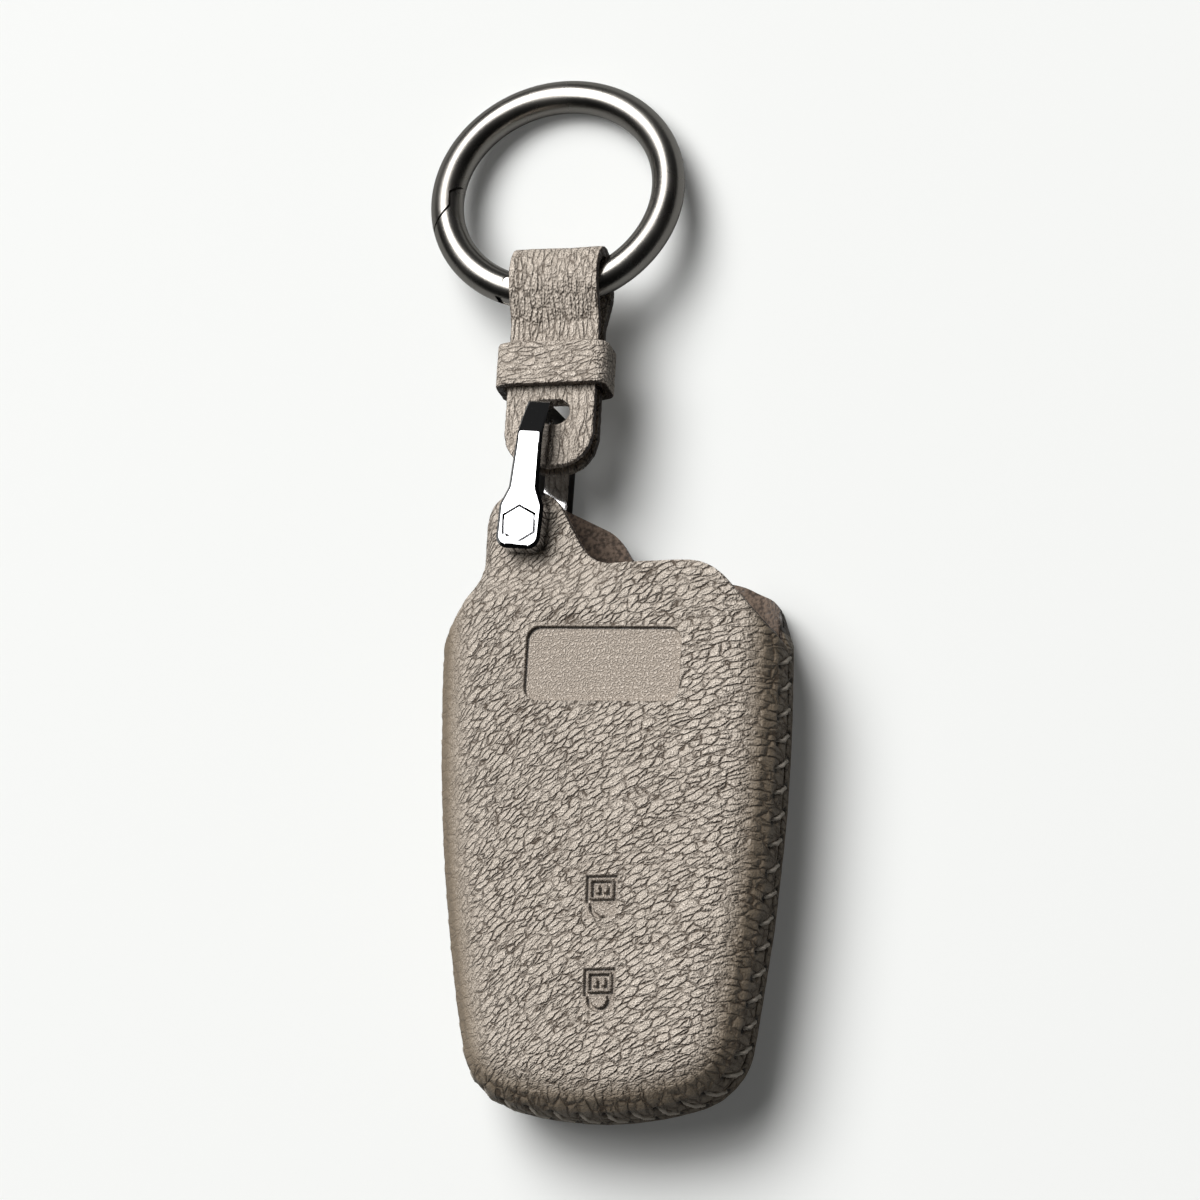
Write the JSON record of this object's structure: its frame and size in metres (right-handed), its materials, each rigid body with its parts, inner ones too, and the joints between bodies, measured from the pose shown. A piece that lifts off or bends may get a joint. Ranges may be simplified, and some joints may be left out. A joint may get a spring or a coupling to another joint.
{
  "type": "key fob cover",
  "caption": "Taupe leather key fob cover, whip-stitched at the seam, with a pivoting metal shackle, a folded leather strap with keeper, and a round spring-gate ring.",
  "frame": {"origin": "middle of the rear panel's flat back, at the middle of the moulded body's length and width", "axes": "+Y from the rounded end towards the ring, +Z out of the front face, +X to the right when the front is looked at with the ring upwards"},
  "size_m": [0.0534, 0.1469, 0.0195],
  "materials": {
    "leather": "pebbled, semi-matte",
    "suede": "napped",
    "thread": "waxed",
    "polished_metal": "polished black nickel",
    "satin_metal": "satin gunmetal",
    "spring_steel": "drawn wire"
  },
  "bodies": {
    "cover": {"front_panel": "leather", "rear_panel": "leather", "front_lining": "suede", "rear_lining": "suede", "seam_thread": "thread"},
    "shackle": {"shackle": "polished_metal", "shackle_post": "polished_metal", "shackle_screw": "polished_metal"},
    "strap": {"strap": "leather"},
    "keeper": {"keeper": "leather"},
    "ring": {"ring_body": "satin_metal", "gate_pin": "satin_metal"},
    "gate": {"ring_gate": "satin_metal", "gate_plunger": "spring_steel", "gate_spring": "spring_steel"}
  },
  "joints": [
    {"name": "shackle_swing", "type": "hinge", "parent": "cover", "child": "shackle", "pos_m": [-0.012, 0.0428, 0.0098], "axis": [0, 0, 1], "range_deg": [-50, 75]},
    {"name": "strap_swing", "type": "hinge", "parent": "shackle", "child": "strap", "pos_m": [-0.01054, 0.05944, 0.012], "axis": [0, 0, 1], "range_deg": [-30, 60]},
    {"name": "keeper_slide", "type": "slide", "parent": "strap", "child": "keeper", "axis": [0, 0.9925, -0.1219], "range_m": [-0.0012, 0.0022]},
    {"name": "ring_swing", "type": "hinge", "parent": "strap", "child": "ring", "pos_m": [-0.00954, 0.07829, 0.00968], "axis": [1, 0, 0], "range_deg": [-110, 140]},
    {"name": "gate_hinge", "type": "hinge", "parent": "ring", "child": "gate", "pos_m": [-0.01665, 0.07804, 0.00975], "axis": [0, -0.2495, -0.9684], "range_deg": [0, 25], "stiffness_Nm_per_rad": 0.01, "springref_deg": -20.05}
  ]
}
